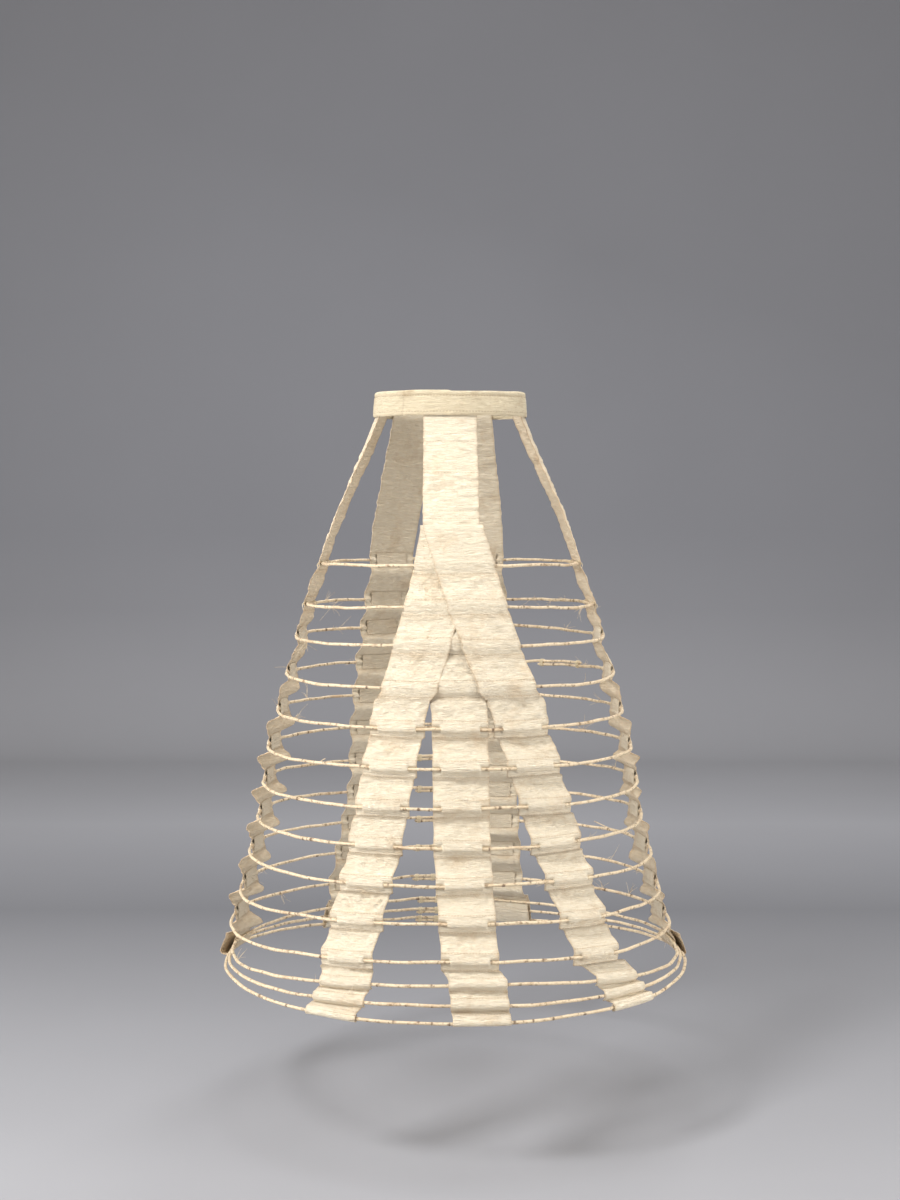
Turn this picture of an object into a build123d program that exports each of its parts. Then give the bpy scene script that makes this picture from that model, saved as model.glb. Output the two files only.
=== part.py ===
from build123d import *
from math import asin, atan2, ceil, cos, degrees, hypot, radians, sin
import os

# A crinoline cage of about 1860: fourteen hoops of cane, carried by tapes
# that hang from a waistband. Millimetres, +Z up, +Y to the wearer's front
# and +X to the wearer's right. The origin is the middle of the waistband's
# lower edge. An azimuth is measured from the centre back (-Y), and grows
# towards the wearer's right. A drop is measured down from the origin.

# Hoops, from the top one down: half the width across the sides, and the
# drop of the cane's middle at the back, at the sides and at the front.
hoop_half_widths = [197, 219, 237, 254, 268, 282, 291, 299, 312, 326, 340, 345, 351, 358]
back_drops = [221, 279, 334, 393, 449, 503, 558, 612, 662, 712, 762, 792, 819, 842]
side_drops = [224, 288, 338, 395, 451, 507, 561, 614, 669, 727, 779, 824, 833, 841]
front_drops = [226, 291, 337, 398, 456, 512, 570, 625, 680, 732, 788, 828, 848, 866]
hoop_count = len(hoop_half_widths)
back_stretch = 1.04
hem_shift = 8
hem_hoops = 3
cane_diameter = 5
cane_sides = 5
longest_cane_turn = 18

# Each cane is closed by lapping its two ends, one above the other. The
# fourth hoop was mended with a longer lap, nearer to the side.
lap_length = 46
lap_azimuth = -172.5
mended_hoop = 4
mended_lap_length = 96
mended_lap_azimuth = 134

# Thread bound round each lap, near its two ends.
lashing_length = 7
lashing_thickness = 1.1
lashing_inset = 9

# Tapes: a thick woven strip, with a woven pocket for each hoop.
tape_width = 83
tape_thickness = 1.4
clearance = 0.3
pocket_width = 57
pocket_half_height = 12
hem_pocket_half_height = 7
flat_beyond_pocket = 0.7
tape_slack = 10
slant_slack = 5
hem_slack = 2
shortest_bay = 9
run_margin = 2

# Azimuths of the middle of each tape, by hoop number, read between.
centre_back_azimuths = {0: 0, 5: 3.1, 8: 3.3, 11: 4.7, 14: 5.8}
left_back_azimuths = {0: 0, 1: -3, 5: -16.4, 9: -22.4, 11: -25.4, 14: -29.2}
right_back_azimuths = {0: 0, 1: 6, 5: 22.6, 9: 33.3, 11: 38, 12: 42, 14: 45}
left_side_azimuths = {0: -97, 14: -103}
right_side_azimuths = {0: 97, 14: 103}
left_front_azimuths = {0: -150, 8: -152, 14: -146}
right_front_azimuths = {0: 165, 14: 165}

# The number of hoops that each tape lies outside of, before its pockets.
centre_over = 0
slant_over = 4
side_over = 2
front_over = 0

# The two slanting back tapes start on the centre tape, the right one on top
# with its raw end folded under. The centre tape has spare pockets above.
slant_drop = 165
slant_fold = 6
slant_lift = 5.5
lifted_hoops = 3
level_hoops = 2
spare_pocket_drops = [34, 92, 148]
spare_pocket_height = 11
spare_pocket_thickness = 0.7

# The sides' and front's last three hoops share one roll of the tape.
roll_reach = 4.5
roll_gap = 2.6

# Waistband: cloth folded double, lapped and buttoned at the front.
band_half_width = 118
band_half_depth = 93
band_height = 38
band_thickness = 3.2
band_flare = 4
band_lap_length = 34
band_sides = 28
tape_tuck = 16
tape_gap_at_band = 1.5
band_lap_gap = 1

# Button on the lap of the waistband.
button_diameter = 19
button_thickness = 3
button_hole_diameter = 2.4
button_hole_spacing = 4.6
button_sides = 12
button_hole_sides = 4

cane_radius = cane_diameter / 2
inside_cane = cane_radius + clearance + tape_thickness / 2
layer = tape_thickness + clearance
band_inset = band_thickness / 2 + tape_gap_at_band + tape_thickness / 2
up = Vector(0, 0, 1)


def between(azimuths, number):
    """Read an azimuth between the two listed hoops on either side."""
    below = max(n for n in azimuths if n <= number)
    above = min(n for n in azimuths if n >= number)
    share = 0 if above == below else (number - below) / (above - below)
    return azimuths[below] + share * (azimuths[above] - azimuths[below])


def hoop_point(number, azimuth):
    """A point on the middle line of a hoop, numbered from 1 at the top."""
    half_width = hoop_half_widths[number - 1]
    turn = radians(azimuth)
    at_back = cos(turn) > 0
    half_depth = half_width * (back_stretch if at_back else 1)
    end_drop = (back_drops if at_back else front_drops)[number - 1]
    side_drop = side_drops[number - 1]
    drop = side_drop + (end_drop - side_drop) * cos(turn) ** 2
    shift = hem_shift if number > hoop_count - hem_hoops else 0
    return Vector(shift + half_width * sin(turn), -half_depth * cos(turn), -drop)


def level_width(azimuths):
    """The width of a tape along a level line, which grows as it slants."""
    high, low = 5, hoop_count
    start = hoop_point(high, between(azimuths, high))
    below = hoop_point(low, between(azimuths, high))
    end = hoop_point(low, between(azimuths, low))
    return tape_width / cos(atan2((end - below).length, (below - start).length))


def cane_run(azimuths, number):
    """The azimuths of the two ends of a cane's straight run in a tape."""
    azimuth = between(azimuths, number)
    middle = hoop_point(number, azimuth)
    half_run = level_width(azimuths) / 2 + run_margin
    half = degrees(asin(half_run / hypot(middle.X, middle.Y)))
    return azimuth - half, azimuth + half


def meeting(azimuths, number, over):
    """Where a tape meets a hoop: its middle, and the ways across and outward."""
    azimuth = between(azimuths, number)
    on_slant = over == slant_over and number <= over
    if on_slant:
        lean = azimuth / 2 if number <= level_hoops else azimuth
        start, end = hoop_point(number, lean - 1), hoop_point(number, lean + 1)
        middle = hoop_point(number, azimuth)
    else:
        start, end = (hoop_point(number, a) for a in cane_run(azimuths, number))
        middle = (start + end) / 2
    across = (end - start).normalized()
    return middle, across, across.cross(up).normalized()


def placed(meet, out, rise):
    """A (point, across) station, out and up from where a tape meets a hoop."""
    middle, across, outward = meet
    return middle + outward * out + outward.cross(across) * rise, across


def band_point(azimuth, drop, out=0):
    """A point out from the waistband's middle surface, and its level tangent."""
    turn = radians(azimuth)
    spread = band_flare * drop / band_height
    width, depth = band_half_width + spread, band_half_depth + spread
    tangent = Vector(width * cos(turn), depth * sin(turn), 0).normalized()
    middle = Vector(width * sin(turn), -depth * cos(turn), -drop)
    return middle + tangent.cross(up) * out, tangent


def band_bend(azimuth):
    """The radius of the waistband's curve at an azimuth."""
    turn = radians(azimuth)
    rate = hypot(band_half_width * cos(turn), band_half_depth * sin(turn))
    return rate**3 / (band_half_width * band_half_depth)


def courses(points):
    """The way along a path of points at each one, halving the turn there."""
    runs = [(end - start).normalized() for start, end in zip(points, points[1:])]
    before, after = [runs[0], *runs], [*runs, runs[-1]]
    return [arriving + leaving for arriving, leaving in zip(before, after)]


def strip(stations, width, thickness=tape_thickness):
    """A flat strip through (point, across) stations, as one ruled loft."""
    ways = courses([point for point, across in stations])
    with BuildPart() as made:
        for (point, across), way in zip(stations, ways):
            way = way - across * way.dot(across)
            with BuildSketch(Plane(point, x_dir=across, z_dir=way)):
                Rectangle(width, thickness)
        loft(ruled=True)
    return made.part


def bent_outline(width, thickness, bend_radius):
    """The section of a tape round a curve: three flat runs, outer then inner."""
    outer, inner = [], []
    for share in (-1 / 2, -1 / 6, 1 / 6, 1 / 2):
        turn = share * width / bend_radius
        for points, offset in ((outer, thickness / 2), (inner, -thickness / 2)):
            reach = bend_radius + offset
            points.append((reach * sin(turn), reach * cos(turn) - bend_radius))
    return outer + inner[::-1]


def tape_head(azimuth, first):
    """The top of a tape: bent round inside the waistband, then flattening out."""
    nearly_flat = 1e4
    tuck = band_point(azimuth, -tape_tuck, -band_inset)
    edge = band_point(azimuth, 0, -band_inset)
    sections = [(tuck, band_bend(azimuth)), (edge, band_bend(azimuth)), (first, nearly_flat)]
    along = [edge[0] - tuck[0], first[0] - tuck[0], first[0] - edge[0]]
    with BuildPart() as made:
        for ((point, across), bend_radius), way in zip(sections, along):
            way = way - across * way.dot(across)
            with BuildSketch(Plane(point, x_dir=across, z_dir=way)):
                with BuildLine():
                    Polyline(bent_outline(tape_width, tape_thickness, bend_radius), close=True)
                make_face()
        loft(ruled=True)
    return made.part


def pocket_reach(number):
    """Half the height of the pocket round a hoop, which is less at the hem."""
    near_hem = number > hoop_count - hem_hoops
    return hem_pocket_half_height if near_hem else pocket_half_height


def body_stations(azimuths, over, lift, last):
    """The stations of a tape from its first hoop down to the hoop named last."""
    stations = []
    for number in range(1, last + 1):
        meet = meeting(azimuths, number, over)
        rise = pocket_reach(number)
        out = inside_cane if number <= over else -inside_cane
        out += lift if number <= lifted_hoops else 0
        if stations:
            above, below = stations[-1], placed(meet, out, rise)
            slack = slant_slack if over == slant_over and number <= over + 1 else tape_slack
            slack = hem_slack if number > hoop_count - hem_hoops else slack
            if (below[0] - above[0]).length > shortest_bay:
                outward = meet[2]
                dip = (above[0] + below[0]) / 2 - outward * slack
                stations.append((dip, (above[1] + below[1]).normalized()))
        stations.append(placed(meet, out, rise))
        stations.append(placed(meet, out, -rise))
    return stations


def thickened(points):
    """The closed outline, mitred at its turns, of a course as thick as the tape."""
    left, right = [], []
    for point, way in zip(points, courses(points)):
        reach = tape_thickness / way.length / way.length
        normal = Vector(-way.Y, way.X) * reach
        left.append(point + normal)
        right.append(point - normal)
    return left + right[::-1]


def folded(meet, course, width):
    """Cloth that follows a course of (out, rise) points, straight across a tape."""
    middle, across, outward = meet
    with BuildPart() as made:
        with BuildSketch(Plane(middle, x_dir=outward, z_dir=-across)):
            with BuildLine():
                Polyline(thickened([Vector(out, rise) for out, rise in course]), close=True)
            make_face()
        extrude(amount=width / 2, both=True)
    return made.part


def pocket(azimuths, number, over):
    """The outer layer of a woven pocket, which just clears the cane in it."""
    foot = pocket_reach(number) - flat_beyond_pocket
    crown = inside_cane * (foot**2 + inside_cane**2) / (foot**2 - inside_cane**2)
    course = [(-inside_cane, foot), (crown, 0), (-inside_cane, -foot)]
    return folded(meeting(azimuths, number, over), course, pocket_width)


def hem_roll(azimuths, over):
    """The end of a side or front tape, rolled round its last three hoops."""
    top, bottom = (meeting(azimuths, n, over) for n in (hoop_count - 2, hoop_count))
    reach = (bottom[0] - top[0]).dot(top[2]) + inside_cane
    fall = bottom[0].Z - top[0].Z
    course = [
        (-inside_cane, pocket_half_height),
        (roll_reach, roll_reach),
        (reach + roll_gap, fall + cane_radius),
        (reach + roll_gap, fall - inside_cane - roll_gap),
        (-inside_cane, fall - inside_cane - roll_gap),
        (-inside_cane, fall),
    ]
    return folded(top, course, tape_width - 2 * clearance)


def centre_back_line(drop, out=0):
    """A station on the centre back tape above its first hoop, moved outward."""
    start = band_point(0, 0, -band_inset)[0]
    end, across = body_stations(centre_back_azimuths, centre_over, 0, 1)[0]
    share = (drop + start.Z) / (start.Z - end.Z)
    along = (end - start).normalized()
    return start + (end - start) * share + across.cross(-along) * out, across


def spare_pocket(drop):
    """An empty pocket: a slightly thicker band woven across the centre tape."""
    half = spare_pocket_height / 2
    stations = [centre_back_line(drop - half), centre_back_line(drop + half)]
    return strip(stations, pocket_width, tape_thickness + 2 * spare_pocket_thickness)


def make_tape(name, azimuths, over, rolled, spare_pockets=()):
    """A tape that hangs from the waistband, with its pockets and its hem."""
    last = hoop_count - hem_hoops if rolled else hoop_count
    stations = body_stations(azimuths, over, 0, last)
    cloth = [tape_head(between(azimuths, 0), stations[0]), strip(stations, tape_width)]
    cloth += [pocket(azimuths, number, over) for number in range(over + 1, last + 1)]
    cloth += [spare_pocket(drop) for drop in spare_pockets]
    if rolled:
        top, bottom = (meeting(azimuths, n, over) for n in (last + 1, hoop_count))
        fall = bottom[0].Z - top[0].Z
        rises = (pocket_half_height + cane_radius, fall - cane_radius)
        inner = [placed(top, -inside_cane, rise) for rise in rises]
        cloth += [strip([stations[-1], *inner], tape_width), hem_roll(azimuths, over)]
    with BuildPart() as made:
        add(cloth)
    made.part.label = name
    return made.part


def make_slant(name, azimuths, layers, lift, fold):
    """A tape that slants down and out from the middle of the centre back tape."""
    width = level_width(azimuths)
    top, across = centre_back_line(slant_drop, layers * layer)
    stations = body_stations(azimuths, slant_over, lift, hoop_count)
    cloth = [strip([(top, across), *stations], width)]
    for number in range(slant_over + 1, hoop_count + 1):
        cloth.append(pocket(azimuths, number, slant_over))
    if fold:
        along = (stations[0][0] - top).normalized()
        start = top + across.cross(-along) * (tape_thickness / 2)
        turned = [(start, across), (start + along * fold, across)]
        cloth.append(strip(turned, width - 2 * clearance, 2 * tape_thickness))
    with BuildPart() as made:
        add(cloth)
    made.part.label = name
    return made.part


# The tapes, by their names: the azimuths, and the hoops that each lies over.
hung_tapes = {
    "centre_back_tape": (centre_back_azimuths, centre_over, False),
    "left_side_tape": (left_side_azimuths, side_over, True),
    "right_side_tape": (right_side_azimuths, side_over, True),
    "left_front_tape": (left_front_azimuths, front_over, True),
    "right_front_tape": (right_front_azimuths, front_over, True),
}
slant_tapes = {
    "left_back_tape": (left_back_azimuths, 1, 0, 0),
    "right_back_tape": (right_back_azimuths, 2, slant_lift, slant_fold),
}


def lap_azimuths(number):
    """The azimuths of the two ends of a cane's lap."""
    length, middle = lap_length, lap_azimuth
    if number == mended_hoop:
        length, middle = mended_lap_length, mended_lap_azimuth
    half = degrees(asin(length / 2 / hoop_half_widths[number - 1]))
    return middle - half, middle + half


def cane_azimuths(number):
    """The azimuths of a cane's corners, from the end of its lap right round."""
    lap_start, lap_end = lap_azimuths(number)
    crossed = [azimuths for azimuths, over, rolled in hung_tapes.values()]
    if number > slant_over:
        crossed += [azimuths for azimuths, *rest in slant_tapes.values()]
    runs = [cane_run(azimuths, number) for azimuths in crossed]
    runs = sorted((start + 360, end + 360) if start < lap_end else (start, end) for start, end in runs)
    corners = [lap_end]
    for start, end in [*runs, (lap_start + 360, None)]:
        if start < corners[-1]:
            corners[-1] = (start + corners[-1]) / 2
        else:
            pieces = ceil((start - corners[-1]) / longest_cane_turn)
            step = (start - corners[-1]) / pieces
            corners += [corners[-1] + step * piece for piece in range(1, pieces + 1)]
        if end:
            corners.append(end)
    return corners


def make_hoop(number):
    """A cane bent round into a hoop, straight where it is in a tape."""
    lap_start, lap_end = lap_azimuths(number)
    raised = up * (cane_radius + clearance / 2)
    upper = [hoop_point(number, azimuth) + raised for azimuth in (lap_start, lap_end)]
    *round_points, last = [hoop_point(number, a) for a in cane_azimuths(number)[1:]]
    lower = [point - raised * 2 for point in upper]
    points = [*upper, *round_points, *lower]
    way = points[1] - points[0]
    with BuildPart() as hoop:
        with BuildLine():
            Polyline(points)
        with BuildSketch(Plane(points[0], x_dir=way.cross(up), z_dir=way)):
            RegularPolygon(cane_radius, cane_sides)
        sweep(transition=Transition.RIGHT)
    hoop.part.label = f"hoop_{number:02d}"
    return hoop.part


def make_lashings():
    """Thread bound round both canes, near the two ends of every lap."""
    side = cane_diameter + 2 * clearance
    crown = 2 * cane_diameter + 3 * clearance
    wound = 2 * lashing_thickness
    with BuildPart() as lashings:
        for number in range(1, hoop_count + 1):
            start, end = (hoop_point(number, azimuth) for azimuth in lap_azimuths(number))
            way = (end - start).normalized()
            for middle in (start + way * lashing_inset, end - way * lashing_inset):
                with BuildSketch(Plane(middle, x_dir=way.cross(up), z_dir=way)):
                    Rectangle(side + wound, crown + wound)
                    Rectangle(side, crown, mode=Mode.SUBTRACT)
                extrude(amount=lashing_length / 2, both=True)
    lashings.part.label = "hoop_lashings"
    return lashings.part


def band_wall(azimuth, out):
    """A plane across the waistband's wall, square to its course."""
    foot, tangent = band_point(azimuth, 0, out)
    head, tangent = band_point(azimuth, -band_height, out)
    outward = tangent.cross(head - foot)
    return Plane((foot + head) / 2, x_dir=outward, z_dir=tangent)


def make_waistband():
    """The waistband: one course of folded cloth, whose end laps its start."""
    half_lap = degrees(band_lap_length / 2 / band_half_width)
    start, closing = 180 - half_lap, 540 - 3 * half_lap
    step = (closing - start) / band_sides
    lapped = band_thickness + band_lap_gap
    course = [(start + step * place, 0) for place in range(band_sides + 1)]
    course += [(540 + share * half_lap, lapped) for share in (-3 / 2, -1 / 2, 1 / 3, 1)]
    with BuildPart() as band:
        for azimuth, out in course:
            with BuildSketch(band_wall(azimuth, out)):
                Rectangle(band_thickness, band_height)
        loft(ruled=True)
    band.part.label = "waistband"
    return band.part


def make_button():
    """A four-holed button on the waistband's lap."""
    out = band_thickness * 3 / 2 + band_lap_gap + clearance
    wall = band_wall(180, out)
    face = Plane(wall.origin, x_dir=wall.z_dir, z_dir=wall.x_dir)
    with BuildPart() as button:
        with BuildSketch(face):
            RegularPolygon(button_diameter / 2, button_sides)
            with GridLocations(button_hole_spacing, button_hole_spacing, 2, 2):
                RegularPolygon(button_hole_diameter / 2, button_hole_sides, mode=Mode.SUBTRACT)
        extrude(amount=button_thickness)
    button.part.label = "waist_button"
    return button.part


pieces = [make_waistband(), make_button(), make_lashings()]
pieces += [make_hoop(number) for number in range(1, hoop_count + 1)]
for name, (azimuths, over, rolled) in hung_tapes.items():
    spare_pockets = spare_pocket_drops if name == "centre_back_tape" else ()
    pieces.append(make_tape(name, azimuths, over, rolled, spare_pockets))
for name, (azimuths, layers, lift, fold) in slant_tapes.items():
    pieces.append(make_slant(name, azimuths, layers, lift, fold))

os.makedirs("parts", exist_ok=True)
for piece in pieces:
    export_step(piece, f"parts/{piece.label}.step")
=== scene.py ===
# %% [markdown]
# # A crinoline cage of cane and cotton tape
# The imported model fixes every hoop and tape in place. This lesson dresses it: each flat, straight
# solid is replaced by a piece with the real one's curves, weave, knots and wear. First the frame is
# loaded. The dressed cage has to stay about that size.

# %% Load the frame
import bpy
import math
import numpy as np
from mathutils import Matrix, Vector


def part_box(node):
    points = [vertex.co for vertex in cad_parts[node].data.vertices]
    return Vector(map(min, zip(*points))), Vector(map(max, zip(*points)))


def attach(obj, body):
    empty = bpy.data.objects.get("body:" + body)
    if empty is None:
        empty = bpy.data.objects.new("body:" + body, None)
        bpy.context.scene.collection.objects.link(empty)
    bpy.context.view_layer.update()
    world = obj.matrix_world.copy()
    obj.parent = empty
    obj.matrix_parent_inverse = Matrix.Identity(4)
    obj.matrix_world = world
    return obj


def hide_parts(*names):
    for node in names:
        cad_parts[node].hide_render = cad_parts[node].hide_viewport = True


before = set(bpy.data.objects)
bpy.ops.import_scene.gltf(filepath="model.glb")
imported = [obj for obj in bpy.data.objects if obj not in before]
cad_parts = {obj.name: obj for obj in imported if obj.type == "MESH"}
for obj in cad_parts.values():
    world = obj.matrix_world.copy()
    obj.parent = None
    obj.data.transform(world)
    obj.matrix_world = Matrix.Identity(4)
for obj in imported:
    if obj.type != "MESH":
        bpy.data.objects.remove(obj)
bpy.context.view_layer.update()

# %% [markdown]
# The lines of the cage are worked out in millimetres from a few driving sizes: each hoop's half
# width, and how far its cane hangs below the waistband's lower edge at the back, side and front.
# An azimuth is measured from the centre back, and grows towards +X. A real cane is never a true
# curve, so each one wanders by a millimetre or two, always in the same way.

# %% The line of a cane
hoop_half_widths = [197, 219, 237, 254, 268, 282, 291, 299, 312, 326, 340, 345, 351, 358]
back_drops = [221, 279, 334, 393, 449, 503, 558, 612, 662, 712, 762, 792, 819, 842]
side_drops = [224, 288, 338, 395, 451, 507, 561, 614, 669, 727, 779, 824, 833, 841]
front_drops = [226, 291, 337, 398, 456, 512, 570, 625, 680, 732, 788, 828, 848, 866]
hoop_count = len(hoop_half_widths)
back_stretch = 1.04
hem_shift = 8
hem_hoops = 3
cane_radius = 2.5
cane_wander = 0.9


def wander(number, azimuth):
    """How far a cane strays outward and upward from its true curve, in mm."""
    rng = np.random.default_rng(100 + number)
    turn = np.radians(azimuth)
    strays = []
    for share in (1, 0.8):
        stray = 0
        for waves in (4, 7, 11, 19, 31):
            phase, size = rng.uniform(0, 2 * math.pi), rng.uniform(0.5, 1.2)
            stray = stray + size * np.sin(waves * turn + phase) * (4 / waves) ** 0.6
        strays.append(stray * cane_wander * share)
    return strays


def cane_line(number, azimuth):
    """Points on the middle of a cane at these azimuths, and the ways outward there, in mm."""
    place = number - 1
    azimuth = np.asarray(azimuth, dtype=float)
    turn = np.radians(azimuth)
    at_back = np.cos(turn) > 0
    stretch = np.where(at_back, back_stretch, 1)
    end_drop = np.where(at_back, back_drops[place], front_drops[place])
    drop = side_drops[place] + (end_drop - side_drops[place]) * np.cos(turn) ** 2
    shift = hem_shift if number > hoop_count - hem_hoops else 0
    out, rise = wander(number, azimuth)
    x = shift + (hoop_half_widths[place] + out) * np.sin(turn)
    y = -(hoop_half_widths[place] * stretch + out) * np.cos(turn)
    outward = np.stack([np.sin(turn), -np.cos(turn), np.zeros_like(turn)], axis=-1)
    return np.stack([x, y, rise - drop], axis=-1), outward


print("hoops:", hoop_count, "longest cane in mm:", round(2 * math.pi * hoop_half_widths[-1]))

# %% [markdown]
# Every piece here is one or more bent grids of points: a tube is a grid that closes on itself, and
# a tape is a grid as wide as the cloth. So one helper turns grids into a mesh. It keeps a map in
# real metres along and across the cloth for the weave, and any marks, such as how near a point is
# to a knot, for the materials to read.

# %% Grids into meshes
def grid_piece(name, grids, material, wrapped=False, capped=False, marks=(), maps=None):
    """One object from grids of points in mm; wrapped grids close round their second direction."""
    corners, faces, start = [], [], 0
    for grid in grids:
        rows, columns = grid.shape[:2]
        corners.append(grid.reshape(-1, 3) / 1000)
        index = start + np.arange(rows * columns).reshape(rows, columns)
        after = np.roll(index, -1, axis=1)
        if not wrapped:
            index, after = index[:, :-1], after[:, :-1]
        quads = np.stack([index[:-1], after[:-1], after[1:], index[1:]], axis=-1)
        faces += quads.reshape(-1, 4).tolist()
        if capped:
            faces.append(index[0].tolist())
            faces.append(index[-1][::-1].tolist())
        start += rows * columns
    mesh = bpy.data.meshes.new(name)
    mesh.from_pydata(np.concatenate(corners).tolist(), [], faces)
    for mark, values in marks:
        layer = mesh.attributes.new(mark, "FLOAT", "POINT")
        layer.data.foreach_set("value", np.concatenate([v.ravel() for v in values]).astype(np.float32))
    if maps is not None:
        flat = np.concatenate([m.reshape(-1, 2) for m in maps]) / 1000
        corner_points = np.empty(len(mesh.loops), dtype=np.int32)
        mesh.loops.foreach_get("vertex_index", corner_points)
        layer = mesh.uv_layers.new(name="cloth")
        layer.data.foreach_set("uv", flat[corner_points].astype(np.float32).ravel())
    mesh.shade_smooth()
    mesh.materials.append(material)
    piece = bpy.data.objects.new(name, mesh)
    bpy.context.collection.objects.link(piece)
    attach(piece, "root")
    return piece


def tube_grid(points, radii, sides, toward=(0, 0, 1)):
    """A grid round a path of points, as thick as radii say at each point or side."""
    points = np.asarray(points, dtype=float)
    ways = np.gradient(points, axis=0)
    ways /= np.linalg.norm(ways, axis=1, keepdims=True) + 1e-9
    aside = np.cross(ways, toward)
    aside /= np.linalg.norm(aside, axis=1, keepdims=True) + 1e-9
    over = np.cross(aside, ways)
    turns = np.linspace(0, 2 * math.pi, sides, endpoint=False)
    radii = np.broadcast_to(np.asarray(radii, dtype=float), (sides, len(points))).T
    ring = aside[:, None] * np.cos(turns)[None, :, None] + over[:, None] * np.sin(turns)[None, :, None]
    return points[:, None] + ring * radii[:, :, None]


def lumps(across, along, across_size, along_size, seed):
    """Smooth random heights from -1 to 1, in lumps of about these sizes."""
    lattice = np.random.default_rng(seed).uniform(-1, 1, (97, 97))
    x, y = np.asarray(across) / across_size + 500, np.asarray(along) / along_size + 500
    i, j = np.floor(x).astype(int), np.floor(y).astype(int)
    fx, fy = x - i, y - j
    fx, fy = fx * fx * (3 - 2 * fx), fy * fy * (3 - 2 * fy)
    near = lattice[i % 97, j % 97] * (1 - fx) + lattice[(i + 1) % 97, j % 97] * fx
    far = lattice[i % 97, (j + 1) % 97] * (1 - fx) + lattice[(i + 1) % 97, (j + 1) % 97] * fx
    return near * (1 - fy) + far * fy


# %% [markdown]
# Materials are node trees. One function turns sRGB hex colours into Blender's linear ones, and one
# small function adds a node with its links and its settings, so each recipe reads from top to
# bottom. Two more take up what the recipes share: patches of a given size, and the joining of a
# colour and a relief to the shader. Distances in the recipes are real ones.

# %% Colours and nodes
def colour(code):
    """An sRGB hex colour as Blender's linear red, green, blue and alpha."""
    shares = [int(code[place : place + 2], 16) / 255 for place in (1, 3, 5)]
    linear = [s / 12.92 if s <= 0.04045 else ((s + 0.055) / 1.055) ** 2.4 for s in shares]
    return (*linear, 1)


def add_node(tree, kind, links=(), **settings):
    """A node of this kind, with its inputs linked or given a value, and its settings."""
    node = tree.nodes.new("ShaderNode" + kind)
    for setting, value in settings.items():
        setattr(node, setting, value)
    for socket, value in dict(links).items():
        if isinstance(value, bpy.types.NodeSocket):
            tree.links.new(value, node.inputs[socket])
        else:
            node.inputs[socket].default_value = value
    return node


def new_material(name):
    """An empty material, its tree and its shader."""
    material = bpy.data.materials.new(name)
    material.use_nodes = True
    return material, material.node_tree, material.node_tree.nodes["Principled BSDF"]


def surface(tree, shader, tint, height, strength, depth, roughness, pitted=False):
    """Gives the shader its colour, its relief (depth in metres) and its roughness."""
    relief = add_node(
        tree, "Bump", {"Strength": strength, "Distance": depth, "Height": height}, invert=pitted
    )
    tree.links.new(tint, shader.inputs["Base Color"])
    tree.links.new(relief.outputs[0], shader.inputs["Normal"])
    shader.inputs["Roughness"].default_value = roughness


def patches(tree, solid, size, detail, low, high, strength=1, roughness=0.5):
    """How strongly patches of about this size show, where a noise is between two levels."""
    noise = add_node(
        tree, "TexNoise",
        {"Vector": solid, "Scale": 1 / size, "Detail": detail, "Roughness": roughness},
    )
    return add_node(
        tree, "MapRange",
        {"Value": noise.outputs["Fac"], "From Min": low, "From Max": high, "To Max": strength},
    ).outputs["Result"]


# %% [markdown]
# The tapes are heavy unbleached cotton, woven with a thick weft, so they show fine ribs from side
# to side, slubs where the yarn swells, and yellowed blotches. Rows of running stitch cross them
# above and below each cane. The ribs are about 1 mm apart on the real cloth, and 1.5 mm here, so
# that they show. The map is in metres, so a scale is worked out from a real spacing.

# %% Woven cotton and linen
rib_spacing = 0.0015
wave_rate = 20  # a wave texture of scale 1 turns through 20 radians in a metre
blotch_size, speck_size = 0.045, 0.006
stitch_from_cane, stitch_width, stitch_length, stitch_gap = 12.0, 0.45, 0.0026, 0.0044
# Each field of unevenness: its length, height, slant, detail, distortion and share of the relief.
cloth_fields = {
    "slubs": (0.012, 0.0018, 0, 3, 0, 1),
    "drags": (0.022, 0.0042, 32, 2, 0.4, 4.4),
    "puckers": (0.012, 0.0044, 0, 2, 0.6, 3.0),
}
rib_relief, warp_relief, stitch_relief = 0.7, 0.35, -1.2


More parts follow.
